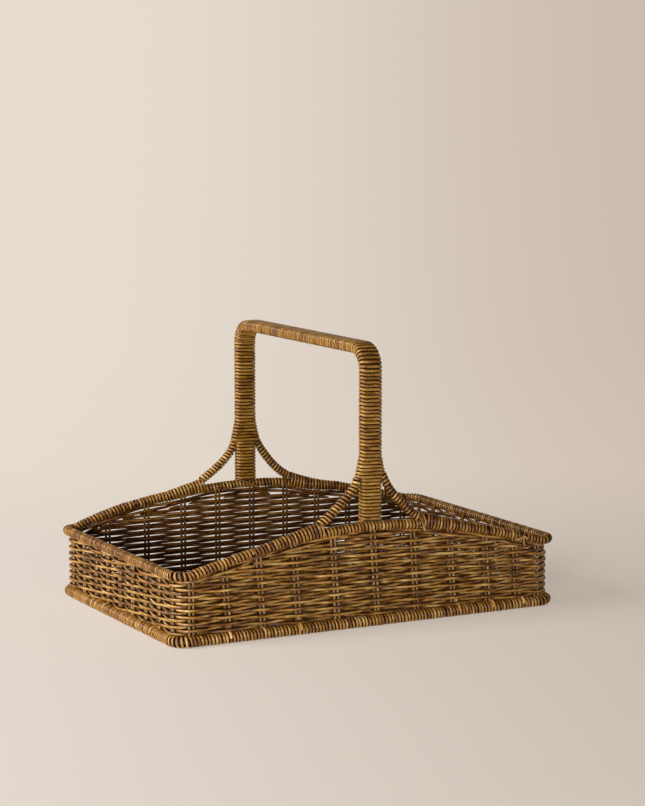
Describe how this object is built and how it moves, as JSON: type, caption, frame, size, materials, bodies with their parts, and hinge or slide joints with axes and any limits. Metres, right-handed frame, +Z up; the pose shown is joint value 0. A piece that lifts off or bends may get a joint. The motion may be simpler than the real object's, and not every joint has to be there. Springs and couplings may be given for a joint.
{
  "type": "handled storage basket",
  "caption": "Low rectangular storage basket woven from plastic cane on a steel wire frame, its long sides arched up to a fixed, braced carrying handle.",
  "frame": {"origin": "centre of the basket's footprint, on the surface that it stands on", "axes": "+Z up, +X along the length with the right-hand short side at +X, the near long side at -Y; the handle's arch spans Y at X = 0"},
  "size_m": [0.41, 0.2788, 0.266],
  "materials": {
    "cane_weave": "satin synthetic cane strand, golden tan with darker and pinkish streaks along it",
    "cane_binding": "satin synthetic cane wound turn by turn, golden ochre with brown streaks",
    "cane_stakes": "satin synthetic cane, pinkish tan",
    "frame_steel": "thin brown paint on steel wire and strap"
  },
  "bodies": {
    "root": {"rim_frame_rod": "frame_steel", "rim_binding": "cane_binding", "base_frame_rod": "frame_steel", "base_binding": "cane_binding", "handle_strap": "frame_steel", "handle_binding": "cane_binding", "near_left_brace_rod": "frame_steel", "near_left_brace_binding": "cane_binding", "near_right_brace_rod": "frame_steel", "near_right_brace_binding": "cane_binding", "far_left_brace_rod": "frame_steel", "far_left_brace_binding": "cane_binding", "far_right_brace_rod": "frame_steel", "far_right_brace_binding": "cane_binding", "near_collar": "cane_stakes", "far_collar": "cane_stakes", "near_stake_1": "cane_stakes", "near_stake_2": "cane_stakes", "near_stake_3": "cane_stakes", "near_stake_4": "cane_stakes", "near_stake_5": "cane_stakes", "near_stake_6": "cane_stakes", "near_stake_7": "cane_stakes", "near_stake_8": "cane_stakes", "near_stake_9": "cane_stakes", "far_stake_1": "cane_stakes", "far_stake_2": "cane_stakes", "far_stake_3": "cane_stakes", "far_stake_4": "cane_stakes", "far_stake_5": "cane_stakes", "far_stake_6": "cane_stakes", "far_stake_7": "cane_stakes", "far_stake_8": "cane_stakes", "far_stake_9": "cane_stakes", "left_stake_1": "cane_stakes", "left_stake_2": "cane_stakes", "left_stake_3": "cane_stakes", "left_stake_4": "cane_stakes", "left_stake_5": "cane_stakes", "left_stake_6": "cane_stakes", "left_stake_7": "cane_stakes", "right_stake_1": "cane_stakes", "right_stake_2": "cane_stakes", "right_stake_3": "cane_stakes", "right_stake_4": "cane_stakes", "right_stake_5": "cane_stakes", "right_stake_6": "cane_stakes", "right_stake_7": "cane_stakes", "near_left_corner_stake": "cane_stakes", "near_right_corner_stake": "cane_stakes", "far_left_corner_stake": "cane_stakes", "far_right_corner_stake": "cane_stakes", "first_weaver": "cane_weave", "second_weaver": "cane_weave", "near_packing_strand": "cane_weave", "far_packing_strand": "cane_weave", "woven_floor": "cane_weave", "floor_cross_rod_1": "frame_steel", "floor_cross_rod_2": "frame_steel", "floor_cross_rod_3": "frame_steel"}
  },
  "joints": []
}
